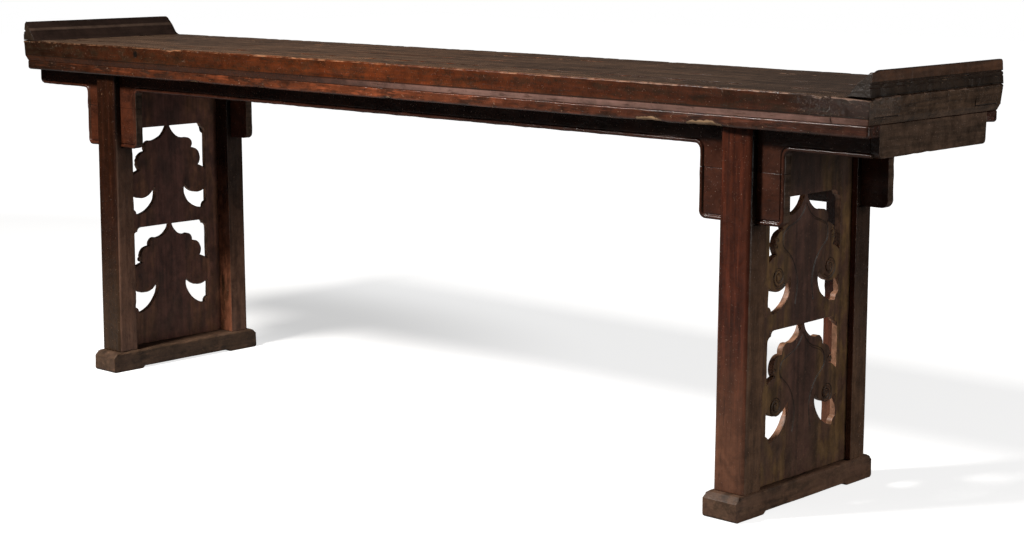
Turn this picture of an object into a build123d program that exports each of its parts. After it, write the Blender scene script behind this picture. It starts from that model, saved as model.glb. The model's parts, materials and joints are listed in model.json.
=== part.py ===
from build123d import *
import os

os.makedirs("parts", exist_ok=True)

# An altar table: a long framed top with a raised flange at each end, on two trestles.
# A trestle is two legs and a carved openwork panel on a base rail. The aprons run in slots
# cut down through the heads of the legs and spread into spandrels beside each leg.
# Millimetres. The origin is on the floor under the middle of the table, X runs along the
# top, Y towards the back and Z up. The front right quarter is modelled and mirrored.

# Fits
fit = 0.2  # clearance on each side of a joint in wood
mortise_end_gap = 1  # room past the end of a blind tenon, tongue or peg
half_turn = 180

# Top frame
top_length = 2610
top_depth = 474
frame_height = 52
edge_band_height = 39  # upright band at the top of the moulded edge
edge_band_taper = 3  # how far the band leans in towards its foot
edge_chamfer_width = 5  # how far the chamfer under the band cuts in
top_arris = 2.5
long_rail_width = 100
end_rail_width = 85
rail_tenon_set_in = 20  # outer edge of the frame to the through tenon
rail_tenon_rise = 14  # underside of the frame to the through tenon
board_thickness = 22
tongue_length = 10
tongue_thickness = 8

# Battens under the boards of the top
batten_count = 4
batten_pitch = 580
batten_width = 45
batten_tenon_length = 15
batten_tenon_thickness = 12

# Laths that thicken the front and back edge
lath_height = 23
lath_inset = 7  # lath behind the outermost edge of the top
lath_corner_radius = 5
lath_foot_radius = 6
lath_top_radius = 3

# Flanges
flange_height = 48
flange_foot_width = 57
flange_lip_width = 6
flange_lip_radius = 2
flange_outer_lean = 2
flange_upper_tier_height = 22
flange_lower_tier_height = 16
flange_groove_height = 2.5
flange_groove_depth = 3
flange_line_height = 1.5
flange_line_depth = 1.5
flange_slope_run = 21
flange_slope_drop = 22
flange_step_run = 14
flange_step_drop = 17
cove_sag = 1.5  # hollow of the cove between the step and the foot
flange_end_inset = 1
flange_end_rake = 3
flange_end_radius = 6
flange_key_width = 12
flange_key_height = 8
flange_key_end = 40  # end of the flange to the end of its key

# Pegs
peg_diameter = 8
peg_fit = 0.1
flange_peg_count = 4
flange_peg_pitch = 70
flange_peg_length = 36
lath_peg_count = 4  # in each half of a lath
lath_peg_pitch = 290
lath_peg_start = 70  # middle of the table to the first peg
lath_peg_length = 40
lath_peg_inset = 18  # outer face of the lath to the peg

# Aprons and spandrels
apron_set_back = 47  # front face of the apron behind the edge of the top
apron_thickness = 20
apron_height = 62
apron_corner_radius = 12
spandrel_upper_height = 45  # part of the spandrel that is cut in the apron board
spandrel_lower_height = 101  # separate lower piece
spandrel_reach = 63  # how far a spandrel stands out beside its leg
spandrel_corner_radius = 15
bead_width = 8
bead_groove_width = 3
bead_groove_depth = 1.8

# End boards
end_board_thickness = 20
end_board_corner_radius = 12
end_board_tongue_thickness = 6
end_board_tongue_height = 8
apron_tenon_length = 10
apron_tenon_thickness = 8
apron_tenon_height = 36

# Trestles
leg_set_in = 312.5  # end of the top to the middle of a leg
leg_set_back = 27  # front face of a leg, at its head, behind the edge of the top
leg_height = 716  # from the base rail to the underside of the laths
leg_width = 75
leg_depth = 56
leg_splay = 4.5  # how far a foot stands out past the head
leg_corner_radius = 9
head_tenon_width = 55
head_tenon_reach = 22  # how far a head tenon enters the top frame
tenon_shoulder = 3.5
foot_tenon_width = 45
foot_tenon_depth = 28
foot_tenon_length = 34

# Rail between the legs, over the panel
cross_rail_height = 40
cross_rail_width = 36
cross_tenon_length = 12
cross_tenon_width = 20
cross_tenon_height = 26

# Base rails
base_rail_overhang = 24.5  # end of a base rail past the foot of its leg
base_rail_width = 83
base_rail_height = 51
base_rail_shift = 2.5  # base rail towards the middle of the table
base_end_bevel_run = 14
base_end_bevel_drop = 12
base_foot_radius = 7
base_edge_chamfer = 4
pad_length = 92
pad_slope = 8
pad_height = 6

# Openwork panels
panel_thickness = 14
panel_recess = 14  # outer face of the leg to the outer face of the panel
panel_groove_depth = 10
panel_tongue_length = 8
panel_tongue_inset = 8  # end of the foot and head tongue, from the leg
motif_height = 226
motif_half_width = 121.5
motif_shift = 3.5  # carving forward of the middle of the board
upper_motif_top = 621
lower_motif_top = 361

# Outline of the ruyi cloud, as shares of the motif's half width across from its middle
# and of its height down from its tip
tip_point = (0.03, 0)
upper_cloud = {
    "shoulder": (0.50, 0.155),
    "shoulder_cusp": (0.62, 0.275),
    "lobe_cusp": (0.795, 0.487),
    "volute_end": (1, 0.545),
    "horn": (0.42, 0.70),
    "waist": (0.385, 0.77),
    "stem": (0.44, 0.865),
    "leaf": (0.61, 0.955),
    "volute_foot": (0.77, 0.814),
    "volute_heel": (1, 0.765),
}
lower_cloud = {
    "shoulder": (0.38, 0.143),
    "shoulder_cusp": (0.58, 0.23),
    "lobe_cusp": (0.786, 0.416),
    "volute_end": (1, 0.475),
    "horn": (0.40, 0.67),
    "waist": (0.38, 0.745),
    "stem": (0.44, 0.83),
    "leaf": (0.61, 0.935),
    "volute_foot": (0.77, 0.77),
    "volute_heel": (1, 0.72),
}
leaf_tip = (0.91, 1)
foot_ear = ((0.93, 0.955), (1, 0.93))
head_ear = ((0.82, 0), (0.876, 0.016), (0.9, 0.048), (0.963, 0.06), (1, 0.095))

# How far each arc of the outline stands out from its chord, as a share of the chord
ogee_swell = 0.17
shoulder_swell = 0.3
lobe_swell = 0.32
volute_swell = 0.05

# Levels
lath_under = base_rail_height + leg_height
frame_under = lath_under + lath_height
frame_top = frame_under + frame_height
board_under = frame_top - board_thickness
apron_foot = frame_under - apron_height
spandrel_joint = apron_foot - spandrel_upper_height
spandrel_foot = spandrel_joint - spandrel_lower_height
cross_rail_under = frame_under - cross_rail_height

# Places along X, on the right half
top_end = top_length / 2
end_rail_inside = top_end - end_rail_width
lath_end = top_end - lath_inset
end_board_inside = lath_end - end_board_thickness
leg_x = top_end - leg_set_in
leg_inside = leg_x - leg_width / 2
leg_outside = leg_x + leg_width / 2
base_rail_x = leg_x - base_rail_shift
panel_outside = leg_outside - panel_recess
panel_inside = panel_outside - panel_thickness
panel_x = (panel_inside + panel_outside) / 2
flange_x = top_end - flange_foot_width / 2

# Places along Y, on the front half, where they are negative
top_front = -top_depth / 2
long_rail_inside = top_front + long_rail_width
lath_front = top_front + lath_inset
apron_front = top_front + apron_set_back
apron_back = apron_front + apron_thickness

# Heights of the tongues and tenons inside the frame
tongue_low = board_under + (board_thickness - tongue_thickness) / 2
tongue_high = tongue_low + tongue_thickness
rail_tenon_low = frame_under + rail_tenon_rise
rail_tenon_high = tongue_low - tenon_shoulder


def leg_front(height):
    """Y of the front face of a front leg, which leans out towards its foot."""
    drop = (frame_under - height) / (frame_under - base_rail_height)
    return top_front + leg_set_back - leg_splay * drop


def leg_back(height):
    return leg_front(height) + leg_depth


def block(x_limits, y_limits, z_limits, grow=0, mode=Mode.ADD):
    """A box between limits on each axis, grown on every side."""
    limits = (x_limits, y_limits, z_limits)
    middle = tuple((low + high) / 2 for low, high in limits)
    size = tuple(high - low + 2 * grow for low, high in limits)
    with Locations(middle):
        Box(*size, mode=mode)


def save(piece, name):
    piece.part.label = name
    export_step(piece.part, f"parts/{name}.step")


def save_mirrored(piece, plane, name):
    with BuildPart() as copy:
        mirror(piece.part, about=plane)
    save(copy, name)


def save_four(piece, name):
    """A piece of the front right quarter, and its three mirror images."""
    save(piece, f"front_right_{name}")
    save_mirrored(piece, Plane.XZ, f"back_right_{name}")
    save_mirrored(piece, Plane.YZ, f"front_left_{name}")
    with BuildPart() as opposite:
        add(piece.part, rotation=(0, 0, half_turn))
    save(opposite, f"back_left_{name}")


def save_front_and_back(piece, name):
    save(piece, f"front_{name}")
    save_mirrored(piece, Plane.XZ, f"back_{name}")


def save_right_and_left(piece, name):
    save(piece, f"right_{name}")
    save_mirrored(piece, Plane.YZ, f"left_{name}")


def moulded_blank():
    """The whole top with its moulded edge: a chamfer, a leaning band and an arris."""
    chamfer_height = frame_height - edge_band_height
    insets = (
        (frame_under, edge_band_taper + edge_chamfer_width),
        (frame_under + chamfer_height, edge_band_taper),
        (frame_top - top_arris, 0),
        (frame_top, top_arris),
    )
    with BuildPart() as blank:
        for height, inset in insets:
            with BuildSketch(Plane.XY.offset(height)):
                Rectangle(top_length - 2 * inset, top_depth - 2 * inset)
        loft(ruled=True)
    return blank.part


def head_tenons(grow=0, end_gap=0, mode=Mode.ADD):
    """The two tenons on the head of the front right leg, one each side of its slot."""
    half_width = head_tenon_width / 2
    across = (leg_x - half_width, leg_x + half_width)
    reach = frame_under + head_tenon_reach + end_gap
    front = (leg_front(frame_under) + tenon_shoulder, apron_front - tenon_shoulder)
    back = (apron_back + tenon_shoulder, leg_back(frame_under) - tenon_shoulder)
    block(across, front, (lath_under, reach), grow, mode)
    block(across, back, (frame_under, reach), grow, mode)


def foot_tenon(grow=0, end_gap=0, mode=Mode.ADD):
    middle = (leg_front(base_rail_height) + leg_back(base_rail_height)) / 2
    across = (leg_x - foot_tenon_width / 2, leg_x + foot_tenon_width / 2)
    deep = (middle - foot_tenon_depth / 2, middle + foot_tenon_depth / 2)
    down = (base_rail_height - foot_tenon_length - end_gap, base_rail_height)
    block(across, deep, down, grow, mode)


def cross_tenon(grow=0, end_gap=0, mode=Mode.ADD):
    """The front tenon of the right cross rail, in the back of the front right leg."""
    middle = (cross_rail_under + frame_under) / 2
    shoulder = leg_back(frame_under)
    across = (panel_x - cross_tenon_width / 2, panel_x + cross_tenon_width / 2)
    deep = (shoulder - cross_tenon_length - end_gap, shoulder)
    high = (middle - cross_tenon_height / 2, middle + cross_tenon_height / 2)
    block(across, deep, high, grow, mode)


def rail_tenon(grow=0, mode=Mode.ADD):
    """The through tenon at the right end of the front rail of the top."""
    deep = (top_front + rail_tenon_set_in, long_rail_inside)
    block((end_rail_inside, top_end), deep, (rail_tenon_low, rail_tenon_high), grow, mode)


def batten_places():
    first = -(batten_count - 1) * batten_pitch / 2
    return [first + batten_pitch * number for number in range(batten_count)]


def batten_tenon(x, grow=0, end_gap=0, mode=Mode.ADD):
    """The front tenon of a batten, in the inner edge of the front rail."""
    middle = (frame_under + board_under) / 2
    across = (x - batten_width / 2, x + batten_width / 2)
    deep = (long_rail_inside - batten_tenon_length - end_gap, long_rail_inside)
    high = (middle - batten_tenon_thickness / 2, middle + batten_tenon_thickness / 2)
    block(across, deep, high, grow, mode)


def flange_key(grow=0, mode=Mode.ADD):
    """The key under the right flange, in a groove along the end rail."""
    half_length = top_depth / 2 - flange_key_end
    across = (flange_x - flange_key_width / 2, flange_x + flange_key_width / 2)
    block(across, (-half_length, half_length), (frame_top - flange_key_height, frame_top),
          grow, mode)


def flange_pegs(grow=0, end_gap=0, mode=Mode.ADD):
    """Upright pegs through the key of the right flange, half in the flange."""
    with Locations((flange_x, 0, frame_top)):
        with GridLocations(1, flange_peg_pitch, 1, flange_peg_count):
            Cylinder(peg_diameter / 2 + grow, flange_peg_length + 2 * end_gap, mode=mode)


def lath_pegs(grow=0, end_gap=0, mode=Mode.ADD):
    """Upright pegs through the front lath, into the front rail."""
    first = lath_peg_start
    places = [first + lath_peg_pitch * number for number in range(lath_peg_count)]
    height = lath_peg_length + end_gap
    for x in places + [-place for place in places]:
        with Locations((x, lath_front + lath_peg_inset, lath_under)):
            Cylinder(peg_diameter / 2 + grow, height, mode=mode,
                     align=(Align.CENTER, Align.CENTER, Align.MIN))


def apron_tenon(grow=0, end_gap=0, mode=Mode.ADD):
    """The tenon at the right end of the front apron, in the end board."""
    middle_y = (apron_front + apron_back) / 2
    middle_z = (apron_foot + frame_under) / 2
    along = (end_board_inside, end_board_inside + apron_tenon_length + end_gap)
    deep = (middle_y - apron_tenon_thickness / 2, middle_y + apron_tenon_thickness / 2)
    high = (middle_z - apron_tenon_height / 2, middle_z + apron_tenon_height / 2)
    block(along, deep, high, grow, mode)


def end_board_tongue(grow=0, end_gap=0, mode=Mode.ADD):
    """The tongue along the head of the right end board, under the end rail."""
    inside = end_board_inside + tenon_shoulder
    half_length = -apron_front - end_board_corner_radius
    block((inside, inside + end_board_tongue_thickness), (-half_length, half_length),
          (frame_under, frame_under + end_board_tongue_height + end_gap), grow, mode)


def panel_board(grow=0, mode=Mode.ADD):
    """The right panel before it is pierced, as wide as the grooves in its two legs."""
    foot = (leg_back(base_rail_height) - panel_groove_depth, base_rail_height)
    head = (leg_back(cross_rail_under) - panel_groove_depth, cross_rail_under)
    with BuildSketch(Plane.YZ.offset(panel_inside - grow)) as outline:
        Polygon(foot, head, (-head[0], head[1]), (-foot[0], foot[1]), align=None)
        offset(amount=grow, kind=Kind.INTERSECTION)
    extrude(outline.sketch, amount=panel_thickness + 2 * grow, mode=mode)


def panel_tongues(grow=0, end_gap=0, mode=Mode.ADD):
    """The tongues along the foot and the head of the right panel."""
    across = (panel_inside + tenon_shoulder, panel_outside - tenon_shoulder)
    half_length = -leg_back(cross_rail_under) - panel_tongue_inset
    foot = (base_rail_height - panel_tongue_length - end_gap, base_rail_height)
    head = (cross_rail_under, cross_rail_under + panel_tongue_length + end_gap)
    block(across, (-half_length, half_length), foot, grow, mode)
    block(across, (-half_length, half_length), head, grow, mode)


def apron_shape(margin=0):
    """The front apron with its whole spandrels, drawn past its ends and head by a margin."""
    with BuildSketch() as shape:
        with Locations((0, (apron_foot + frame_under + margin) / 2)):
            Rectangle(2 * (end_board_inside + margin), apron_height + margin)
        spandrel_height = apron_foot - spandrel_foot
        with Locations((-leg_x, apron_foot), (leg_x, apron_foot)):
            Rectangle(leg_width + 2 * spandrel_reach, spandrel_height,
                      align=(Align.CENTER, Align.MAX))
        inner_corners = shape.vertices().group_by(Axis.Y)[1].sort_by(Axis.X)[1:-1]
        fillet(inner_corners, apron_corner_radius)
        fillet(shape.vertices().group_by(Axis.Y)[0], spandrel_corner_radius)
    return shape.sketch


def flange_section():
    """Section of the right flange, from the lip down the outer face and back up the slope."""
    lip_outside = top_end - flange_outer_lean
    lip_inside = lip_outside - flange_lip_width
    head = frame_top + flange_height
    tier_foot = head - flange_upper_tier_height
    groove_foot = tier_foot - flange_groove_height
    line_foot = frame_top + flange_lower_tier_height
    line_head = line_foot + flange_line_height
    slope_foot = (lip_inside - flange_slope_run, head - flange_slope_drop)
    step_foot = (slope_foot[0] - flange_step_run, slope_foot[1] - flange_step_drop)

    def face(height):
        """The outer face leans in towards the lip."""
        return top_end - flange_outer_lean * (height - frame_top) / flange_height

    with BuildSketch() as section:
        with BuildLine():
            Polyline(
                (lip_inside, head),
                (lip_outside, head),
                (face(tier_foot), tier_foot),
                (face(tier_foot) - flange_groove_depth, tier_foot),
                (face(groove_foot) - flange_groove_depth, groove_foot),
                (face(groove_foot), groove_foot),
                (face(line_head), line_head),
                (face(line_head) - flange_line_depth, line_head),
                (face(line_foot) - flange_line_depth, line_foot),
                (face(line_foot), line_foot),
                (top_end, frame_top),
                (top_end - flange_foot_width, frame_top),
            )
            ThreePointArc(
                (top_end - flange_foot_width, frame_top),
                ((step_foot[0] + top_end - flange_foot_width) / 2 + cove_sag,
                 (step_foot[1] + frame_top) / 2 - cove_sag),
                step_foot,
            )
            Line(step_foot, slope_foot)
            Line(slope_foot, (lip_inside, head))
        make_face()
        fillet(section.vertices().group_by(Axis.Y)[-1], flange_lip_radius)
    return section.sketch


def flange_side():
    """Side view of a flange: its ends rake back towards the lip and are rounded there."""
    half_foot = top_depth / 2 - flange_end_inset
    half_head = half_foot - flange_end_rake
    head = frame_top + flange_height
    with BuildSketch() as side:
        Polygon((-half_foot, frame_top), (half_foot, frame_top), (half_head, head),
                (-half_head, head), align=None)
        fillet(side.vertices().group_by(Axis.Y)[-1], flange_end_radius)
    return side.sketch


def base_rail_side():
    """Side view of a base rail: bevelled ends, and a relief between two pads."""
    half = base_rail_overhang - leg_front(base_rail_height)
    pad_inside = half - pad_length
    with BuildSketch() as side:
        Polygon(
            (-half, 0),
            (-pad_inside, 0),
            (-pad_inside + pad_slope, pad_height),
            (pad_inside - pad_slope, pad_height),
            (pad_inside, 0),
            (half, 0),
            (half, base_rail_height - base_end_bevel_drop),
            (half - base_end_bevel_run, base_rail_height),
            (-half + base_end_bevel_run, base_rail_height),
            (-half, base_rail_height - base_end_bevel_drop),
            align=None,
        )
        feet = side.vertices().group_by(Axis.Y)[0].sort_by(Axis.X)
        fillet([feet[0], feet[-1]], base_foot_radius)
    return side.sketch


def swelled_arc(start, end, swell):
    """An arc that stands out from its chord by a share of it, to the left for a swell
    above nought."""
    chord = Vector(*end) - Vector(*start)
    SagittaArc(start, end, swell * chord.length)


def ruyi_openings(motif_top, cloud):
    """The four openings round one ruyi cloud, drawn on one side and mirrored."""

    def at(point):
        across, down = point
        return (motif_half_width * across, motif_top - motif_height * down)

    points = {name: at(point) for name, point in cloud.items()}
    head = [at(point) for point in head_ear]
    foot = [at(point) for point in foot_ear]
    with BuildSketch() as openings:
        with BuildLine():
            # between the tip, the lobes of the cloud and the margin of the board
            swelled_arc(at(tip_point), points["shoulder"], -ogee_swell)
            swelled_arc(points["shoulder"], points["shoulder_cusp"], shoulder_swell)
            swelled_arc(points["shoulder_cusp"], points["lobe_cusp"], lobe_swell)
            swelled_arc(points["lobe_cusp"], points["volute_end"], volute_swell)
            Line(points["volute_end"], head[4])
            ThreePointArc(head[4], head[3], head[2])
            ThreePointArc(head[2], head[1], head[0])
            Line(head[0], at(tip_point))
        make_face()
        with BuildLine():
            # the crescent between the volute and the leaf
            Spline(points["horn"], points["waist"], points["stem"], points["leaf"],
                   at(leaf_tip))
            ThreePointArc(at(leaf_tip), *foot)
            Line(foot[-1], points["volute_heel"])
            ThreePointArc(points["volute_heel"], points["volute_foot"], points["horn"])
        make_face()
        mirror(about=Plane.YZ)
    return openings.sketch


# Front and back rails of the top. What is cut at one end is mirrored to the other
# by keeping only what the rail shares with its mirror image.
with BuildPart() as front_rail:
    block((-end_rail_inside, end_rail_inside), (top_front, long_rail_inside),
          (frame_under, frame_top))
    rail_tenon()
    mirror(about=Plane.YZ)
    add(moulded_blank(), mode=Mode.INTERSECT)
    block((-end_rail_inside, end_rail_inside),
          (long_rail_inside - tongue_length - mortise_end_gap, long_rail_inside),
          (tongue_low, tongue_high), fit, mode=Mode.SUBTRACT)
    for batten_x in batten_places():
        batten_tenon(batten_x, fit, mortise_end_gap, mode=Mode.SUBTRACT)
    lath_pegs(peg_fit, mortise_end_gap, mode=Mode.SUBTRACT)
    head_tenons(fit, mortise_end_gap, mode=Mode.SUBTRACT)
    mirror(about=Plane.YZ, mode=Mode.INTERSECT)
save_front_and_back(front_rail, "top_rail")

# End rails of the top, which run out to the front and back edges
with BuildPart() as end_rail:
    block((end_rail_inside, top_end), (top_front, -top_front), (frame_under, frame_top))
    add(moulded_blank(), mode=Mode.INTERSECT)
    rail_tenon(fit, mode=Mode.SUBTRACT)
    mirror(about=Plane.XZ, mode=Mode.INTERSECT)
    half_groove = -long_rail_inside + tongue_length
    block((end_rail_inside, end_rail_inside + tongue_length + mortise_end_gap),
          (-half_groove, half_groove), (tongue_low, tongue_high), fit, mode=Mode.SUBTRACT)
    flange_key(fit, mode=Mode.SUBTRACT)
    flange_pegs(peg_fit, mortise_end_gap, mode=Mode.SUBTRACT)
    end_board_tongue(fit, mortise_end_gap, mode=Mode.SUBTRACT)
save_right_and_left(end_rail, "top_rail")

# Boards of the top, tongued into the frame and into each other
board_end = end_rail_inside - fit
tongue_end = board_end + tongue_length
board_edge = long_rail_inside + fit
tongue_edge = board_edge - tongue_length

with BuildPart() as front_board:
    block((-board_end, board_end), (board_edge, 0), (board_under, frame_top))
    block((-tongue_end, tongue_end), (tongue_edge, 0), (tongue_low, tongue_high))
    block((-tongue_end, tongue_end), (-tongue_length - mortise_end_gap, 0),
          (tongue_low, tongue_high), fit, mode=Mode.SUBTRACT)
save(front_board, "front_top_board")

with BuildPart() as back_board:
    block((-board_end, board_end), (fit, -board_edge), (board_under, frame_top))
    block((-tongue_end, tongue_end), (-tongue_length, -tongue_edge), (tongue_low, tongue_high))
save(back_board, "back_top_board")

# Battens under the boards
for number, batten_x in enumerate(batten_places(), start=1):
    with BuildPart() as batten:
        half_width = batten_width / 2
        block((batten_x - half_width, batten_x + half_width),
              (long_rail_inside, -long_rail_inside), (frame_under, board_under))
        batten_tenon(batten_x)
        mirror(about=Plane.XZ)
    save(batten, f"top_batten_{number}")

# Laths under the front and back edge
with BuildPart() as lath:
    block((-lath_end, lath_end), (lath_front, apron_front), (lath_under, frame_under))
    fillet(lath.edges().filter_by(Axis.Z).group_by(Axis.Y)[0], lath_corner_radius)
    fillet(lath.faces().sort_by(Axis.Z)[0].edges().sort_by(Axis.Y)[:-1], lath_foot_radius)
    fillet(lath.faces().sort_by(Axis.Z)[-1].edges().sort_by(Axis.Y)[:-1], lath_top_radius)
    lath_pegs(peg_fit, mode=Mode.SUBTRACT)
    head_tenons(fit, mode=Mode.SUBTRACT)
    mirror(about=Plane.YZ, mode=Mode.INTERSECT)
save_front_and_back(lath, "edge_lath")

with BuildPart() as lath_peg_row:
    lath_pegs()
save_front_and_back(lath_peg_row, "lath_pegs")

# Flanges, keyed and pegged to the end rails
with BuildPart() as flange:
    with BuildSketch(Plane.XZ):
        add(flange_section())
    extrude(amount=top_depth / 2, both=True)
    with BuildSketch(Plane.YZ.offset(end_rail_inside)):
        add(flange_side())
    extrude(amount=end_rail_width, mode=Mode.INTERSECT)
    flange_key()
    flange_pegs(peg_fit, mortise_end_gap, mode=Mode.SUBTRACT)
save_right_and_left(flange, "flange")

with BuildPart() as flange_peg_row:
    flange_pegs()
save_right_and_left(flange_peg_row, "flange_pegs")

# Apron board with its whole spandrels and the groove that draws their bead
with BuildPart() as whole_apron:
    with BuildSketch(Plane.XZ.offset(-apron_front)):
        add(apron_shape())
    extrude(amount=-apron_thickness)
    bead_margin = bead_width + bead_groove_width + spandrel_reach
    with BuildSketch(Plane.XZ.offset(-apron_front)):
        add(apron_shape(bead_margin))
        offset(amount=-bead_width)
        offset(amount=-bead_groove_width, mode=Mode.SUBTRACT)
    extrude(amount=-bead_groove_depth, mode=Mode.SUBTRACT)

joint_plane = Plane.XY.offset(spandrel_joint)

# Aprons, with the upper part of each spandrel
with BuildPart() as apron:
    add(whole_apron.part)
    split(bisect_by=joint_plane, keep=Keep.TOP)
    apron_tenon()
    mirror(about=Plane.YZ)
save_front_and_back(apron, "apron")

# Lower spandrels, which meet inside the slot of their leg
spandrel_places = {
    "inner_spandrel": (leg_inside - spandrel_reach, leg_x - fit),
    "outer_spandrel": (leg_x + fit, leg_outside + spandrel_reach),
}
for spandrel_name, spandrel_limits in spandrel_places.items():
    with BuildPart() as spandrel:
        add(whole_apron.part)
        split(bisect_by=joint_plane, keep=Keep.BOTTOM)
        block(spandrel_limits, (apron_front, apron_back), (spandrel_foot, spandrel_joint),
              mode=Mode.INTERSECT)
    save_four(spandrel, spandrel_name)

# End boards between the aprons
with BuildPart() as end_board:
    block((end_board_inside, lath_end), (apron_front, -apron_front), (apron_foot, frame_under))
    fillet(end_board.edges().filter_by(Axis.X).group_by(Axis.Z)[0], end_board_corner_radius)
    apron_tenon(fit, mortise_end_gap, mode=Mode.SUBTRACT)
    mirror(about=Plane.XZ, mode=Mode.INTERSECT)
    end_board_tongue()
save_right_and_left(end_board, "end_board")

# Legs
with BuildPart() as leg:
    with BuildSketch(Plane.YZ.offset(leg_x)):
        Polygon(
            (leg_front(base_rail_height), base_rail_height),
            (leg_back(base_rail_height), base_rail_height),
            (leg_back(frame_under), frame_under),
            (leg_front(frame_under), frame_under),
            align=None,
        )
    extrude(amount=leg_width / 2, both=True)
    front_corners = leg.faces().sort_by(Axis.Y)[0].edges().sort_by(SortBy.LENGTH)[-2:]
    fillet(front_corners, leg_corner_radius)
    across_leg = (leg_inside, leg_outside)
    block(across_leg, (lath_front, apron_front), (lath_under, frame_under),
          mode=Mode.SUBTRACT)
    block(across_leg, (apron_front, apron_back), (spandrel_foot, frame_under), fit,
          mode=Mode.SUBTRACT)
    head_tenons()
    foot_tenon()
    panel_board(fit, mode=Mode.SUBTRACT)
    cross_tenon(fit, mortise_end_gap, mode=Mode.SUBTRACT)
save_four(leg, "leg")

# Rails between the heads of two legs
with BuildPart() as cross_rail:
    half_width = cross_rail_width / 2
    half_length = -leg_back(frame_under)
    block((panel_x - half_width, panel_x + half_width), (-half_length, half_length),
          (cross_rail_under, frame_under))
    cross_tenon()
    mirror(about=Plane.XZ)
    panel_tongues(fit, mortise_end_gap, mode=Mode.SUBTRACT)
save_right_and_left(cross_rail, "cross_rail")

# Base rails
with BuildPart() as base_rail:
    with BuildSketch(Plane.YZ.offset(base_rail_x)):
        add(base_rail_side())
    extrude(amount=base_rail_width / 2, both=True)
    top_edges = base_rail.faces().sort_by(Axis.Z)[-1].edges().filter_by(Axis.Y)
    chamfer(top_edges, base_edge_chamfer)
    foot_tenon(fit, mortise_end_gap, mode=Mode.SUBTRACT)
    mirror(about=Plane.XZ, mode=Mode.INTERSECT)
    panel_tongues(fit, mortise_end_gap, mode=Mode.SUBTRACT)
save_right_and_left(base_rail, "base_rail")

# Openwork panels
motif_plane = Plane((panel_inside, -motif_shift, 0), x_dir=(0, 1, 0), z_dir=(1, 0, 0))
with BuildPart() as panel:
    panel_board()
    panel_tongues()
    with BuildSketch(motif_plane):
        add(ruyi_openings(upper_motif_top, upper_cloud))
        add(ruyi_openings(lower_motif_top, lower_cloud))
    extrude(amount=panel_thickness, mode=Mode.SUBTRACT)
save_right_and_left(panel, "openwork_panel")
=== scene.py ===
import bmesh
import bpy
import json
import math
from mathutils import Matrix, Vector, kdtree, noise


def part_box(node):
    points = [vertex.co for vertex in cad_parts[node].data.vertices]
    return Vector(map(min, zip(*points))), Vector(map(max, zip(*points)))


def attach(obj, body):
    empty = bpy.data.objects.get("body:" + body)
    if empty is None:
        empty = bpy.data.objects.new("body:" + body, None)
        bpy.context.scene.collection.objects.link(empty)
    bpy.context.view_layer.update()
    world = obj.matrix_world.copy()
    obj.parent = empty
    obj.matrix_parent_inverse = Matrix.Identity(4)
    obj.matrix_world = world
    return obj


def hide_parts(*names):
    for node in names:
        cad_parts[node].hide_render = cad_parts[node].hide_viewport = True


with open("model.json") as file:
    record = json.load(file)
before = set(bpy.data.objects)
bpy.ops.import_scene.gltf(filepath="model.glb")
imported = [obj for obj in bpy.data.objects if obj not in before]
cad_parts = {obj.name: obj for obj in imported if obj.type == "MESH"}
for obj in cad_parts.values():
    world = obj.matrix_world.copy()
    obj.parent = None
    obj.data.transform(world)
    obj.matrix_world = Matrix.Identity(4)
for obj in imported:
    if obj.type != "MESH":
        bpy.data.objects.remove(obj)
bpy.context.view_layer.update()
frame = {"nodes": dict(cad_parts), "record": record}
nodes = frame["nodes"]
slotOf = {row["node"]: row["material_slot"] for row in frame["record"]["subparts"]}
body = "root"
scene = bpy.context.scene
scene.view_settings.view_transform = "Standard"

cameraSetup = {
    "imageWidth": 1024,      # pixels
    "focalLength": 2056.85,  # pixels
    "sensorWidth": 36,       # mm
    "place": (3.31243, -3.36658, 1.15052),
    "yaw": -42.546,          # degrees from +Y towards +X
    "pitch": -9.6465,
    "roll": -0.0998,
}


def makeCamera(setup):
    yaw = math.radians(setup["yaw"])
    pitch = math.radians(setup["pitch"])
    forward = Vector((math.sin(yaw) * math.cos(pitch), math.cos(yaw) * math.cos(pitch), math.sin(pitch)))
    level = Vector((math.cos(yaw), -math.sin(yaw), 0))
    right = Matrix.Rotation(math.radians(setup["roll"]), 3, forward) @ level
    up = right.cross(forward)
    data = bpy.data.cameras.new("camera")
    data.sensor_width = setup["sensorWidth"]
    data.lens = setup["focalLength"] * setup["sensorWidth"] / setup["imageWidth"]
    camera = bpy.data.objects.new("camera", data)
    scene.collection.objects.link(camera)
    turn = Matrix((right, up, -forward)).transposed().to_4x4()
    camera.matrix_world = Matrix.Translation(setup["place"]) @ turn
    scene.camera = camera


makeCamera(cameraSetup)
print("camera ready")


def place(tree, kind, inputs=None, **settings):
    # a node with its settings, and its inputs linked or set
    node = tree.nodes.new(kind)
    for name, value in settings.items():
        setattr(node, name, value)
    for key, value in (inputs or {}).items():
        plug(tree, node.inputs[key], value)
    return node


def plug(tree, socket, value):
    if isinstance(value, bpy.types.NodeSocket):
        tree.links.new(value, socket)
    else:
        socket.default_value = value


def calc(tree, operation, first, second=0.0):
    return place(tree, "ShaderNodeMath", {0: first, 1: second}, operation=operation).outputs[0]


def plus(tree, first, second):
    return calc(tree, "ADD", first, second)


def minus(tree, first, second):
    return calc(tree, "SUBTRACT", first, second)


def times(tree, *values):
    product = values[0]
    for value in values[1:]:
        product = calc(tree, "MULTIPLY", product, value)
    return product


def lessOf(tree, value, share):
    return minus(tree, 1.0, times(tree, value, share))


def vectorCalc(tree, operation, first, second=(0, 0, 0)):
    node = place(tree, "ShaderNodeVectorMath", {0: first, 1: second}, operation=operation)
    return node.outputs["Value" if operation in ("LENGTH", "DISTANCE") else "Vector"]


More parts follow.
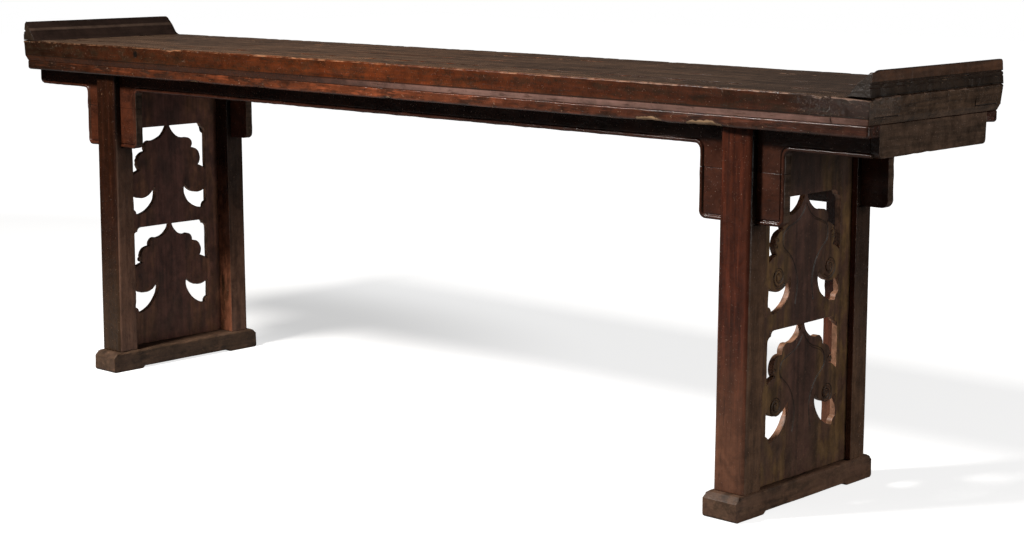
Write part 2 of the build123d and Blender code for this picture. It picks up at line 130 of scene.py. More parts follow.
def span(tree, value, low, high, toLow=0.0, toHigh=1.0):
    # a soft step from one value to another
    return place(tree, "ShaderNodeMapRange", {
        "Value": value, "From Min": low, "From Max": high, "To Min": toLow, "To Max": toHigh},
        interpolation_type="SMOOTHSTEP").outputs["Result"]


def fade(tree, value, levels, high=1.0, low=0.0):
    return span(tree, value, *levels, high, low)


def blend(tree, factor, first, second, mode="MIX"):
    node = place(tree, "ShaderNodeMix", data_type="RGBA", blend_type=mode)
    for socket, value in ((node.inputs[0], factor), (node.inputs[6], first), (node.inputs[7], second)):
        plug(tree, socket, (*value, 1) if isinstance(value, tuple) and len(value) == 3 else value)
    return node.outputs[2]


def tint(tree, under, color, mask, amount):
    return blend(tree, times(tree, mask, amount), under, color)


def scaled(tree, color, shares):
    return blend(tree, 1.0, color, shares, "MULTIPLY")


def ramp(tree, factor, stops):
    node = place(tree, "ShaderNodeValToRGB", {"Fac": factor})
    elements = node.color_ramp.elements
    while len(elements) < len(stops):
        elements.new(0.5)
    for element, (position, color) in zip(elements, stops):
        element.position = position
        element.color = (*color, 1)
    return node.outputs["Color"]


def cloudy(tree, vector, scale, detail=4.0, roughness=0.55, distortion=0.0):
    return place(tree, "ShaderNodeTexNoise", {
        "Vector": vector, "Scale": scale, "Detail": detail, "Roughness": roughness,
        "Distortion": distortion}).outputs[0]


def partOf(tree, vector, axis):
    return place(tree, "ShaderNodeSeparateXYZ", {0: vector}).outputs[axis]


def objectPlace(tree):
    return place(tree, "ShaderNodeTexCoord").outputs["Object"]


def coordinate(tree, axis):
    return partOf(tree, objectPlace(tree), axis)


def stretched(tree, stretch):
    return vectorCalc(tree, "MULTIPLY", objectPlace(tree), stretch)


def faceNormal(tree):
    return place(tree, "ShaderNodeNewGeometry").outputs["Normal"]


lampSetup = {
    "target": (0, 0, 0.6),
    "lamps": {
        "keyLamp": {"place": (-0.72, -2.5, 3.0), "size": 0.6, "power": 240, "color": (1.0, 0.97, 0.93)},
        "sideLamp": {"place": (5.0, 0.8, 1.4), "size": 2.5, "power": 92, "color": (1.0, 0.96, 0.92)},
    },
    "worldFill": 0.035,
    "worldColor": (0.97, 0.98, 1, 1),
    "floorHalf": 15,
    "paperShades": (0.28, 0.05),    # the sweep around the table, as its light falls on the wood, and past it
    "paperReach": (2.0, 3.8),
    "floorShade": 0.5,              # how much lamp light the seen floor takes
    "shadowPlace": (-1.25, 0.6, 0),
    "shadowShape": (0.75, 1.6, 1),
    "glowInner": (0.15, 0.9),       # the seen floor gets lighter away from the shadow, in two steps
    "glowOuter": (1.9, 2.6),
    "floorGlow": (0.56, 0.79, 1.0),
}


def makeLamps(setup):
    for name, lampRow in setup["lamps"].items():
        data = bpy.data.lights.new(name, "AREA")
        data.shape = "DISK"
        data.size = lampRow["size"]
        data.energy = lampRow["power"]
        data.color = lampRow["color"]
        lamp = bpy.data.objects.new(name, data)
        scene.collection.objects.link(lamp)
        lamp.location = lampRow["place"]
        aim = Vector(setup["target"]) - Vector(lampRow["place"])
        lamp.rotation_mode = "QUATERNION"
        lamp.rotation_quaternion = aim.to_track_quat("-Z", "Y")


def byCamera(tree, unseen, seen):
    # one shader for what the camera sees and another for the light that falls on the table
    camera = place(tree, "ShaderNodeLightPath").outputs["Is Camera Ray"]
    return place(tree, "ShaderNodeMixShader", {0: camera, 1: unseen, 2: seen}).outputs[0]


def makeWorld(setup):
    world = bpy.data.worlds.new("studio")
    scene.world = world
    world.use_nodes = True
    tree = world.node_tree
    tree.nodes.clear()
    white = place(tree, "ShaderNodeBackground", {"Color": (1, 1, 1, 1), "Strength": 1.0})
    fill = place(tree, "ShaderNodeBackground", {"Color": setup["worldColor"], "Strength": setup["worldFill"]})
    place(tree, "ShaderNodeOutputWorld", {"Surface": byCamera(tree, fill.outputs[0], white.outputs[0])})


def makeFloor(setup):
    half = setup["floorHalf"]
    corners = [(-half, -half, 0), (half, -half, 0), (half, half, 0), (-half, half, 0)]
    mesh = bpy.data.meshes.new("floor")
    mesh.from_pydata(corners, [], [(0, 1, 2, 3)])
    floor = bpy.data.objects.new("floor", mesh)
    scene.collection.objects.link(floor)
    material = bpy.data.materials.new("paleFloor")
    material.use_nodes = True
    tree = material.node_tree
    tree.nodes.clear()
    where = objectPlace(tree)
    away = vectorCalc(tree, "LENGTH", where)
    bounce = span(tree, away, *setup["paperReach"], *setup["paperShades"])
    paper = place(tree, "ShaderNodeBsdfDiffuse", {"Color": bounce})
    seen = place(tree, "ShaderNodeBsdfDiffuse", {"Color": (*[setup["floorShade"]] * 3, 1)})
    centered = vectorCalc(tree, "SUBTRACT", where, setup["shadowPlace"])
    distance = vectorCalc(tree, "LENGTH", vectorCalc(tree, "MULTIPLY", centered, setup["shadowShape"]))
    first, middle, last = setup["floorGlow"]
    inner = span(tree, distance, *setup["glowInner"], first, middle)
    outer = span(tree, distance, *setup["glowOuter"], 0.0, last - middle)
    glow = place(tree, "ShaderNodeEmission", {"Color": (1, 1, 1, 1), "Strength": plus(tree, inner, outer)})
    lift = place(tree, "ShaderNodeAddShader", {0: seen.outputs[0], 1: glow.outputs[0]})
    place(tree, "ShaderNodeOutputMaterial", {"Surface": byCamera(tree, paper.outputs[0], lift.outputs[0])})
    mesh.materials.append(material)


makeLamps(lampSetup)
makeWorld(lampSetup)
makeFloor(lampSetup)
print("lamps, world and floor ready")


def openGroup(name, **inputs):
    # a shader group with its named inputs
    tree = bpy.data.node_groups.new(name, "ShaderNodeTree")
    for label, value in inputs.items():
        kind = "NodeSocketVector" if isinstance(value, tuple) else "NodeSocketFloat"
        tree.interface.new_socket(name=label, in_out="INPUT", socket_type=kind).default_value = value
    return tree, place(tree, "NodeGroupInput").outputs


def closeGroup(tree, **results):
    # gives a shader group its named outputs
    for label in results:
        tree.interface.new_socket(name=label, in_out="OUTPUT", socket_type="NodeSocketFloat")
    place(tree, "NodeGroupOutput", results)
    return tree


def makeGrain():
    # streaks and pores of old timber, drawn out by Stretch along the grain
    tree, given = openGroup("woodGrain", Stretch=(0.06, 1, 1), Scale=55.0, Warp=0.5)
    drawn = stretched(tree, given["Stretch"])
    broad = cloudy(tree, drawn, given["Scale"], 6.0, 0.62, given["Warp"])
    fine = cloudy(tree, drawn, times(tree, given["Scale"], 6.0), 3.0, 0.6)
    pores = span(tree, fine, 0.6, 0.72)
    height = minus(tree, times(tree, broad, 0.6), times(tree, pores, 0.15))
    return closeGroup(tree, Streaks=span(tree, broad, 0.3, 0.72), Pores=pores, Height=height)


def makeEdgeWear():
    # chipped arrises: the mesh's worn attribute, broken up by noise
    tree, given = openGroup("edgeWear", Scale=60.0, Cover=0.5)
    worn = place(tree, "ShaderNodeAttribute", attribute_name="worn").outputs["Fac"]
    broken = cloudy(tree, objectPlace(tree), given["Scale"], 5.0, 0.65)
    level = plus(tree, times(tree, worn, 0.75), minus(tree, broken, 0.5))
    edge = minus(tree, 0.9, times(tree, given["Cover"], 0.5))
    chips = span(tree, minus(tree, level, edge), -0.03, 0.06)
    return closeGroup(tree, Chips=times(tree, chips, span(tree, worn, 0.05, 0.3)))


def makePitting():
    # the crazed, pitted skin of old lacquer: bumps and small losses
    tree, given = openGroup("pittedSkin", Stretch=(1, 1, 1), Scale=260.0, Losses=0.4)
    drawn = stretched(tree, given["Stretch"])
    fine = cloudy(tree, drawn, given["Scale"], 4.0, 0.7)
    broad = cloudy(tree, drawn, times(tree, given["Scale"], 0.12), 6.0, 0.7, 0.4)
    patch = cloudy(tree, drawn, times(tree, given["Scale"], 0.3), 6.0, 0.75)
    edge = minus(tree, 0.74, times(tree, given["Losses"], 0.2))
    flecks = span(tree, cloudy(tree, drawn, times(tree, given["Scale"], 1.3), 2.0, 0.5), 0.70, 0.74)
    losses = calc(tree, "MAXIMUM", span(tree, minus(tree, patch, edge), -0.015, 0.035), flecks)
    height = minus(tree, fine, times(tree, losses, 0.8))
    return closeGroup(tree, Height=height, Losses=losses, Mottle=span(tree, broad, 0.32, 0.68))


def makeDust():
    # pale dust that settles low down and on upward faces
    tree, given = openGroup("settledDust", Scale=45.0, Amount=0.4, Low=0.0, High=0.3)
    lowness = span(tree, coordinate(tree, "Z"), given["Low"], given["High"], 1.0, 0.0)
    settled = calc(tree, "MAXIMUM", lowness, span(tree, partOf(tree, faceNormal(tree), "Z"), 0.4, 0.95))
    broken = span(tree, cloudy(tree, objectPlace(tree), given["Scale"], 6.0, 0.65), 0.3, 0.7)
    return closeGroup(tree, Dust=times(tree, settled, broken, given["Amount"]))


grainGroup = makeGrain()
wearGroup = makeEdgeWear()
pittingGroup = makePitting()
dustGroup = makeDust()


def useGroup(tree, group, **inputs):
    node = place(tree, "ShaderNodeGroup", node_tree=group)
    for name, value in inputs.items():
        plug(tree, node.inputs[name.capitalize()], value)
    return node.outputs


def along(tree, axis, low, high):
    # where a point lies along an axis, from 0 to 1
    return place(tree, "ShaderNodeMapRange", {
        "Value": coordinate(tree, axis), "From Min": low, "From Max": high}).outputs["Result"]


def facing(tree, axis, low=0.75, high=0.9, way=0):
    # 1 where a face looks along an axis, one way or both
    value = partOf(tree, faceNormal(tree), axis)
    turned = times(tree, value, way) if way else calc(tree, "ABSOLUTE", value)
    return span(tree, turned, low, high)


def near(tree, spot, radius):
    gap = vectorCalc(tree, "DISTANCE", objectPlace(tree), spot)
    return span(tree, gap, radius * 0.5, radius, 1.0, 0.0)


def lineAt(tree, value, level, core, reach, strength):
    # a thin line where a value is at a level
    return span(tree, calc(tree, "ABSOLUTE", minus(tree, value, level)), core, reach, strength, 0.0)


def patchy(tree, stretch, scale, low, high, detail=6.0, roughness=0.65):
    return span(tree, cloudy(tree, stretched(tree, stretch), scale, detail, roughness), low, high)


def stain(tree, under, color, amount, *patches):
    # a second color in patches over the first
    return tint(tree, under, color, patchy(tree, *patches), amount)


def endGrain(tree, colors):
    return blend(tree, patchy(tree, (1, 0.07, 1), 95, 0.36, 0.62, 8, 0.72), *colors)


halfLength = 1.305      # of the top
panelMiddle = -0.0035   # of the openwork, along Y
acrossMiddle = (-0.1, 0.1)

topPaint = {
    "brown": ((0.0, (0.15, 0.088, 0.055)), (0.45, (0.17, 0.092, 0.052)), (1.0, (0.105, 0.066, 0.045))),
    "dark": (0.030, 0.019, 0.013),
    "line": (0.022, 0.014, 0.010),
    "rubbed": (0.21, 0.098, 0.048),     # a strip behind the front edge
    "rubbedDepth": (-0.215, -0.165),
    "rubbedFrom": (-0.75, -0.4),
    "rubbedTo": (0.5, 1.0),
    "ends": ((0.034, 0.022, 0.015), (0.074, 0.045, 0.029)),
    "olive": (0.020, 0.013, 0.007),
    "bright": (1.9, 1.6, 1.5),          # shares of the lacquer's color, as in the other finishes
    "crackle": (0.016, 0.008, 0.004),
    "knot": (0.006, 0.004, 0.003),
    "knotPlace": (-0.828, -0.236, 0.826),
    "knotRadius": 0.011,
    "groove": (0.010, 0.006, 0.004),
    "grooveHeight": 0.8045,
    "foot": (0.035, 0.010, 0.003),
    "footHeights": (0.802, 0.804),
    "paintedReflection": (0.200, 0.108, 0.086),     # a painted reflection of the pale floor, a pale band on the chamfer
    "paintedReflectionFrom": (-0.28, 0.30),
    "paintedReflectionTo": (1.20, 1.32),
    "chippedFrom": (0.818, 0.832),      # lower down the front has no bare chips
    "corner": (1.25, -0.237, 0.835),
    "cornerRadius": 0.15,
    "crumb": (0.18, 0.115, 0.075),
}


def topFaces(tree, color, chips):
    # the streaked brown top, the dull end faces, a painted reflection as a pale band on the chamfer and a
    # dark knot
    paint = topPaint
    height = coordinate(tree, "Z")
    across = coordinate(tree, "X")
    brown = ramp(tree, along(tree, "X", -halfLength, halfLength), paint["brown"])
    top = blend(tree, patchy(tree, (0.05, 1, 1), 70, 0.34, 0.62, 9, 0.74), paint["dark"], brown)
    top = stain(tree, top, paint["line"], 0.5, (0.03, 1, 1), 240, 0.46, 0.62)
    margin = times(tree, fade(tree, coordinate(tree, "Y"), paint["rubbedDepth"]),
                   span(tree, across, *paint["rubbedFrom"]), fade(tree, across, paint["rubbedTo"]),
                   patchy(tree, (0.15, 1, 1), 60, 0.42, 0.62))
    top = tint(tree, top, paint["rubbed"], margin, 0.45)
    fine = patchy(tree, (1, 1, 1), 240, 0.4, 0.6)
    olive = times(tree, patchy(tree, (0.35, 1, 1), 75, 0.44, 0.62), plus(tree, 0.35, times(tree, fine, 0.4)))
    front = blend(tree, olive, color, paint["olive"])
    front = stain(tree, front, scaled(tree, color, paint["bright"]), 0.5, (0.14, 1, 1), 85, 0.50, 0.70)
    front = stain(tree, front, paint["crackle"], 0.4, (1, 1, 0.3), 420, 0.48, 0.62)
    front = blend(tree, near(tree, paint["knotPlace"], paint["knotRadius"]), front, paint["knot"])
    groove = lineAt(tree, height, paint["grooveHeight"], 0.0008, 0.0022, 1.0)
    front = tint(tree, front, paint["groove"], groove, 0.7)
    front = blend(tree, fade(tree, height, paint["footHeights"], 0.8), front, paint["foot"])
    # painted reflection: a pale band on the chamfer
    chamferReflection = times(tree, facing(tree, "Z", 0.2, 0.3, -1), facing(tree, "Y", 0.7, 0.85, -1),
                    span(tree, across, *paint["paintedReflectionFrom"]), fade(tree, across, paint["paintedReflectionTo"], 1.0, 0.3),
                    lessOf(tree, patchy(tree, (0.2, 1, 1), 90, 0.55, 0.66), 0.6))
    front = tint(tree, front, paint["paintedReflection"], chamferReflection, 0.9)
    upward = facing(tree, "Z", 0.8, 0.95, 1)
    sideways = facing(tree, "X")
    kept = times(tree, lessOf(tree, sideways, 0.55), lessOf(tree, upward, 0.5),
                 calc(tree, "MAXIMUM", sideways, span(tree, height, *paint["chippedFrom"])))
    corner = near(tree, paint["corner"], paint["cornerRadius"])
    crumbs = cloudy(tree, stretched(tree, (0.6, 1, 1)), 210, 6, 0.78)
    allFaces = blend(tree, sideways, blend(tree, upward, front, top), endGrain(tree, paint["ends"]))
    specks = times(tree, corner, span(tree, crumbs, 0.58, 0.64), 0.7)
    relief = times(tree, corner, crumbs, 1.8)
    return blend(tree, specks, allFaces, paint["crumb"]), times(tree, chips, kept), relief


lathPaint = {
    "dark": (0.016, 0.009, 0.006),
    "bright": (2.4, 2.2, 2.1),
}


def lathFaces(tree, color, chips):
    dark = stain(tree, color, lathPaint["dark"], 0.75, (0.25, 1, 1), 85, 0.44, 0.62)
    bright = scaled(tree, color, lathPaint["bright"])
    return stain(tree, dark, bright, 0.6, (0.12, 1, 1), 110, 0.54, 0.66), chips, 0.0


flangePaint = {
    "outside": ((0.026, 0.016, 0.010), (0.085, 0.040, 0.022)),     # below the groove and above it
    "changeHeights": (0.866, 0.870),
    "streak": (0.022, 0.014, 0.010),
    # dark lines: painted shade in the groove, and the joint with the rail at the foot
    "line": (0.008, 0.005, 0.003),
    "lineHeights": (0.8685, 0.8445),
    # a painted reflection: the lighter band along the inside slope
    "band": (0.052, 0.033, 0.024),
    "bandFrom": (0.866, 0.869),
    "bandTo": (0.872, 0.875),
    "ends": (0.018, 0.011, 0.007),
}


def flangeFaces(tree, color, chips):
    # outside: brown above the groove and darker below it, with painted shade in the groove and a dark joint
    # at the foot; inside: one lighter band along the slope, a painted reflection
    paint = flangePaint
    height = coordinate(tree, "Z")
    outer = blend(tree, span(tree, height, *paint["changeHeights"]), *paint["outside"])
    outer = stain(tree, outer, paint["streak"], 0.5, (1, 0.1, 1), 60, 0.38, 0.62)
    for level in paint["lineHeights"]:
        outer = blend(tree, lineAt(tree, height, level, 0.0008, 0.0020, 0.8), outer, paint["line"])
    band = times(tree, span(tree, height, *paint["bandFrom"]), fade(tree, height, paint["bandTo"]))
    inner = tint(tree, color, paint["band"], band, 0.8)
    inner = blend(tree, facing(tree, "Y"), inner, paint["ends"])
    return blend(tree, facing(tree, "X", 0.9, 0.97), inner, outer), chips, 0.0


apronPaint = {
    "cloud": (0.022, 0.009, 0.006),
    "shadow": (0.006, 0.003, 0.002),    # under the edge lath
    "shadowHeights": (0.728, 0.745),
    "ends": ((0.040, 0.026, 0.018), (0.076, 0.047, 0.032)),
}


def apronFaces(tree, color, chips):
    # dark clouds and a shadow at the head of the front, dull brown ends
    paint = apronPaint
    front = stain(tree, color, paint["cloud"], 0.5, (0.3, 1, 0.6), 50, 0.45, 0.6)
    shadow = span(tree, coordinate(tree, "Z"), *paint["shadowHeights"], 0.0, 0.6)
    front = blend(tree, shadow, front, paint["shadow"])
    return blend(tree, facing(tree, "X"), front, endGrain(tree, paint["ends"])), chips, 0.0


legPaint = {
    # the sides' lower colour: part dust and part painted light from the floor, lighter at the left end to
    # make up for the side lamp's fall-off
    "dustAndFloorLight": ((0.0, (0.165, 0.083, 0.053)), (1.0, (0.105, 0.056, 0.032))),
    "dustAndFloorLightEnds": (-1.02, 1.02),
    "dustAndFloorLightHeights": (0.36, 0.66),
    "dustAndFloorLightBack": 0.16,                  # how much lower the dust and painted floor light end on a back leg
    "shadow": ((0.028, 0.016, 0.011), (0.003, 0.002, 0.0015)),
    "shadowHeights": (0.54, 0.66),
    "dark": (0.022, 0.008, 0.005),
    "bright": (2.2, 2.0, 2.0),
    "pale": (2.5, 4.2, 5.0),
    "paleHeights": (0.08, 0.42),
    "bare": (0.24, 0.085, 0.045),       # painted light, low on the back left leg's front
    "paintedLightHeights": (0.30, 0.55),
}


def legFaces(tree, color, chips):
    # the sides of a leg are painted nearly black at the head, a painted shadow, and dusty brown near the
    # floor, part dust and part painted light from the floor
    paint = legPaint
    height = coordinate(tree, "Z")
    backward = coordinate(tree, "Y")
    raised = plus(tree, height, span(tree, backward, *acrossMiddle, 0.0, paint["dustAndFloorLightBack"]))
    low = fade(tree, raised, paint["dustAndFloorLightHeights"])
    rough = plus(tree, 0.5, times(tree, patchy(tree, (1, 1, 0.12), 60, 0.36, 0.58), 0.4))
    dustAndFloorLight = ramp(tree, along(tree, "X", *paint["dustAndFloorLightEnds"]), paint["dustAndFloorLight"])
    shadowed = blend(tree, span(tree, height, *paint["shadowHeights"]), *paint["shadow"])
    side = blend(tree, times(tree, low, rough), shadowed, dustAndFloorLight)
    front = stain(tree, color, paint["dark"], 0.6, (1, 1, 0.06), 75, 0.42, 0.64)
    front = stain(tree, front, scaled(tree, color, paint["bright"]), 0.6, (1, 1, 0.05), 110, 0.50, 0.68)
    pale = scaled(tree, color, paint["pale"])
    front = blend(tree, fade(tree, height, paint["paleHeights"], 0.8), front, pale)
    # painted light on the lower front of the back left leg
    backLeftLight = times(tree, fade(tree, coordinate(tree, "X"), acrossMiddle),
                     span(tree, backward, *acrossMiddle), fade(tree, height, paint["paintedLightHeights"]),
                     patchy(tree, (1, 1, 0.3), 40, 0.3, 0.6))
    front = tint(tree, front, paint["bare"], backLeftLight, 0.7)
    return blend(tree, facing(tree, "X"), front, side), chips, 0.0


panelPaint = {
    "walls": ((0.34, 0.17, 0.105), (0.13, 0.066, 0.036)),
    "middle": panelMiddle,
    "ochre": (0.125, 0.070, 0.026),
    "ochreFrom": (0.035, 0.070),        # distance from the middle
    # painted shade at the head of the right panel
    "head": (0.020, 0.014, 0.011),
    "headHeights": (0.60, 0.66),
    "streak": (0.016, 0.010, 0.008),
    "cloud": (0.018, 0.013, 0.010),
    "left": (1.9, 1.6, 1.7),            # painted light: how much lighter the left panel is painted
    "leftToRight": (-0.3, 0.3),
    # painted shade on the sloping sides of the carved grooves
    "groove": (0.014, 0.009, 0.006),
}


def panelFaces(tree, color, chips):
    # the dark brown field, ochre towards the sides, painted shade at the head of the right panel and in the
    # carved grooves, the left panel painted lighter as painted light, and the lighter walls of the openings
    paint = panelPaint
    rightward = span(tree, coordinate(tree, "X"), *paint["leftToRight"])
    walls = blend(tree, patchy(tree, (1, 1, 1), 40, 0.35, 0.65), *paint["walls"])
    gap = calc(tree, "ABSOLUTE", plus(tree, coordinate(tree, "Y"), -paint["middle"]))
    cloud = plus(tree, 0.15, times(tree, patchy(tree, (1, 1, 0.4), 36, 0.42, 0.60), 0.75))
    aside = span(tree, gap, *paint["ochreFrom"])
    ochre = times(tree, aside, cloud, plus(tree, 0.4, times(tree, rightward, 0.6)))
    field = blend(tree, ochre, color, paint["ochre"])
    # painted shade at the head of the right panel
    head = times(tree, rightward, span(tree, coordinate(tree, "Z"), *paint["headHeights"]))
    field = tint(tree, field, paint["head"], head, 0.6)
    field = stain(tree, field, paint["streak"], 0.5, (1, 1, 0.05), 70, 0.45, 0.65)
    clouds = times(tree, patchy(tree, (1, 1, 0.5), 24, 0.45, 0.6), lessOf(tree, rightward, 0.5), 0.5)
    field = blend(tree, clouds, field, paint["cloud"])
    # painted light: the left panel painted lighter
    field = blend(tree, rightward, scaled(tree, field, paint["left"]), field)
    # painted shade on the sloping sides of the carved grooves
    across = calc(tree, "ABSOLUTE", partOf(tree, faceNormal(tree), "X"))
    groove = times(tree, span(tree, across, 0.93, 0.985, 1.0, 0.0), span(tree, across, 0.4, 0.6))
    field = tint(tree, field, paint["groove"], groove, 0.8)
    return blend(tree, facing(tree, "X", 0.35, 0.75), walls, field), chips, 0.0


basePaint = {
    "stain": (0.020, 0.012, 0.008),
    "rubbed": (0.15, 0.080, 0.048),
}


def baseFaces(tree, color, chips):
    # dark stains and rubbed tan places
    stained = stain(tree, color, basePaint["stain"], 0.7, (1, 0.2, 1), 40, 0.48, 0.62)
    return stain(tree, stained, basePaint["rubbed"], 0.5, (1, 0.3, 1), 70, 0.54, 0.66), chips, 0.0


def plainFaces(tree, color, chips):
    return color, chips, 0.0


finishes = {
    "top_lacquer": {
        "faces": topFaces, "stretch": (0.05, 1, 1), "grain": 55, "skin": 230, "losses": 0.35, "cover": 0.75,
        "stops": ((0.0, (0.010, 0.004, 0.002)), (0.25, (0.045, 0.012, 0.004)),
                  (0.5, (0.090, 0.020, 0.005)), (1.0, (0.024, 0.010, 0.006))),
        "woodStops": ((0.0, (0.12, 0.06, 0.03)), (0.5, (0.30, 0.12, 0.05)), (1.0, (0.22, 0.13, 0.09))),
        "dust": 0.0, "roughness": (0.22, 0.5), "bump": 0.8, "index": 1.33,
    },
    "edge_lacquer": {
        "faces": lathFaces, "stretch": (0.05, 1, 1), "grain": 60, "skin": 260, "losses": 0.5, "cover": 0.8,
        "stops": ((0.0, (0.022, 0.007, 0.003)), (0.45, (0.105, 0.028, 0.011)), (1.0, (0.045, 0.018, 0.012))),
        "woodStops": ((0.0, (0.20, 0.11, 0.055)), (0.5, (0.42, 0.25, 0.14)), (1.0, (0.30, 0.19, 0.10))),
        "dust": 0.0, "roughness": (0.16, 0.45), "bump": 0.8, "index": 1.4,
    },
    "flange_lacquer": {
        "faces": flangeFaces, "stretch": (1, 0.06, 1), "grain": 60, "skin": 240, "losses": 0.3, "cover": 0.6,
        "stops": ((0.0, (0.014, 0.008, 0.006)), (0.5, (0.018, 0.010, 0.008)), (1.0, (0.034, 0.019, 0.014))),
        "woodStops": ((0.0, (0.10, 0.06, 0.04)), (1.0, (0.22, 0.14, 0.085))),
        "dust": 0.0, "roughness": (0.35, 0.65), "bump": 0.7, "index": 1.28,
    },
    "apron_lacquer": {
        "faces": apronFaces, "stretch": (0.15, 1, 0.5), "grain": 50, "skin": 250, "losses": 0.3, "cover": 0.6,
        "stops": ((0.0, (0.058, 0.016, 0.007)), (0.5, (0.038, 0.012, 0.007)), (1.0, (0.046, 0.015, 0.008))),
        "woodStops": ((0.0, (0.20, 0.11, 0.07)), (1.0, (0.30, 0.18, 0.13))),
        "dust": 0.0, "roughness": (0.2, 0.5), "bump": 0.5, "index": 1.34,
    },
    "leg_lacquer": {
        "faces": legFaces, "stretch": (1, 1, 0.05), "grain": 55, "skin": 240, "losses": 0.3, "cover": 0.62,
        "stops": ((0.2, (0.016, 0.005, 0.002)), (0.8, (0.052, 0.013, 0.006))),
        "woodStops": ((0.0, (0.30, 0.17, 0.085)), (1.0, (0.27, 0.145, 0.09))),
        "dust": 0.0, "roughness": (0.2, 0.48), "bump": 0.6, "index": 1.34,
    },
    "panel_wood": {
        "faces": panelFaces, "stretch": (1, 1, 0.07), "grain": 60, "skin": 220, "losses": 0.2, "cover": 0.5,
        "stops": ((0.0, (0.065, 0.033, 0.024)), (1.0, (0.062, 0.029, 0.021))),
        "woodStops": ((0.0, (0.22, 0.12, 0.07)), (1.0, (0.26, 0.15, 0.085))),
        "dust": 0.25, "roughness": (0.42, 0.7), "bump": 0.5, "index": 1.3,
    },
    "base_wood": {
        "faces": baseFaces, "stretch": (1, 0.06, 1), "grain": 60, "skin": 230, "losses": 0.35, "cover": 0.6,
        "stops": ((0.0, (0.060, 0.034, 0.022)), (1.0, (0.095, 0.050, 0.032))),
        "woodStops": ((0.0, (0.26, 0.15, 0.085)), (1.0, (0.26, 0.15, 0.09))),
        "dust": 0.22, "roughness": (0.45, 0.75), "bump": 0.6, "index": 1.3,
    },
    "bare_wood": {
        "faces": plainFaces, "stretch": (0.2, 0.2, 0.2), "grain": 70, "skin": 220, "losses": 0.2,
        "cover": 0.4,
        "stops": ((0.0, (0.12, 0.072, 0.042)), (1.0, (0.13, 0.078, 0.045))),
        "woodStops": ((0.0, (0.2, 0.12, 0.07)), (1.0, (0.2, 0.12, 0.07))),
        "dust": 0.1, "roughness": (0.6, 0.85), "bump": 0.4, "index": 1.3,
    },
}


layerSetup = {
    "streaks": 0.45,        # how strongly each layer shows
    "mottle": 0.5,
    "losses": 0.5,
    "chips": 0.85,
    "pores": 0.45,
    "poreColor": (0.010, 0.006, 0.004),
    "dustColor": (0.19, 0.112, 0.062),
    "relief": 0.0014,       # depth of the bumps
}


def finishMaterial(name, look, layers):
    material = bpy.data.materials.new(name)
    material.use_nodes = True
    tree = material.node_tree
    bsdf = tree.nodes["Principled BSDF"]
    grain = useGroup(tree, grainGroup, stretch=look["stretch"], scale=look["grain"])
    wear = useGroup(tree, wearGroup, cover=look["cover"])
    skin = useGroup(tree, pittingGroup, scale=look["skin"], losses=look["losses"])
    dust = useGroup(tree, dustGroup, amount=look["dust"])["Dust"]
    share = along(tree, "X", -halfLength, halfLength)
    lacquer, chips, relief = look["faces"](tree, ramp(tree, share, look["stops"]), wear["Chips"])
    wood = ramp(tree, share, look["woodStops"])
    mottle = times(tree, skin["Mottle"], layers["mottle"])
    shade = plus(tree, 0.5, plus(tree, times(tree, grain["Streaks"], layers["streaks"]), mottle))
    worn = blend(tree, times(tree, skin["Losses"], layers["losses"]),
                 vectorCalc(tree, "MULTIPLY", lacquer, shade), wood)
    chipped = blend(tree, times(tree, chips, layers["chips"]), worn, wood)
    pores = blend(tree, times(tree, grain["Pores"], layers["pores"]), chipped, layers["poreColor"])
    plug(tree, bsdf.inputs["Base Color"], blend(tree, dust, pores, layers["dustColor"]))
    bare = calc(tree, "MAXIMUM", calc(tree, "MAXIMUM", chips, skin["Losses"]), dust)
    varied = plus(tree, times(tree, bare, 0.7), times(tree, grain["Streaks"], 0.3))
    plug(tree, bsdf.inputs["Roughness"], span(tree, varied, 0.0, 1.0, *look["roughness"]))
    bsdf.inputs["IOR"].default_value = look["index"]
    height = plus(tree, times(tree, skin["Height"], 0.5), plus(tree, grain["Height"], mottle))
    lowered = plus(tree, relief, minus(tree, height, times(tree, chips, 0.5)))
    bump = place(tree, "ShaderNodeBump", {
        "Height": lowered, "Strength": look["bump"], "Distance": layers["relief"]})
    plug(tree, bsdf.inputs["Normal"], bump.outputs["Normal"])
    return material


materials = {name: finishMaterial(name, look, layerSetup) for name, look in finishes.items()}
print("finishes ready")


mergeGap = 1e-5


def cutAt(mesh, axis, level, parts):
    spot = Vector((0, 0, 0))
    spot[axis] = level
    across = Vector((0, 0, 0))
    across[axis] = 1
    return bmesh.ops.bisect_plane(mesh, geom=parts, plane_co=spot, plane_no=across, dist=1e-6)["geom"]


def sliceAlong(mesh, axis, low, high, pitch):
    # cuts the faces at even steps along an axis, halving the stretch each time
    count = max(1, round((high - low) / pitch))

    def cut(faces, first, last):
        if first >= last or not faces:
            return
        middle = (first + last) // 2
        level = low + (high - low) * middle / count
        edges = {edge for face in faces for edge in face.edges}
        corners = {corner for face in faces for corner in face.verts}
        done = cutAt(mesh, axis, level, [*corners, *edges, *faces])
        pieces = [part for part in done if isinstance(part, bmesh.types.BMFace)]
        cut([face for face in pieces if face.calc_center_median()[axis] < level], first, middle)
        cut([face for face in pieces if face.calc_center_median()[axis] >= level], middle + 1, last)

    cut(list(mesh.faces), 1, count)


def rowsAt(mesh, axis, levels):
    # rows of points beside an arris, so that a chip in it stays small
    for level in levels:
        cutAt(mesh, axis, level, [*mesh.verts, *mesh.edges, *mesh.faces])


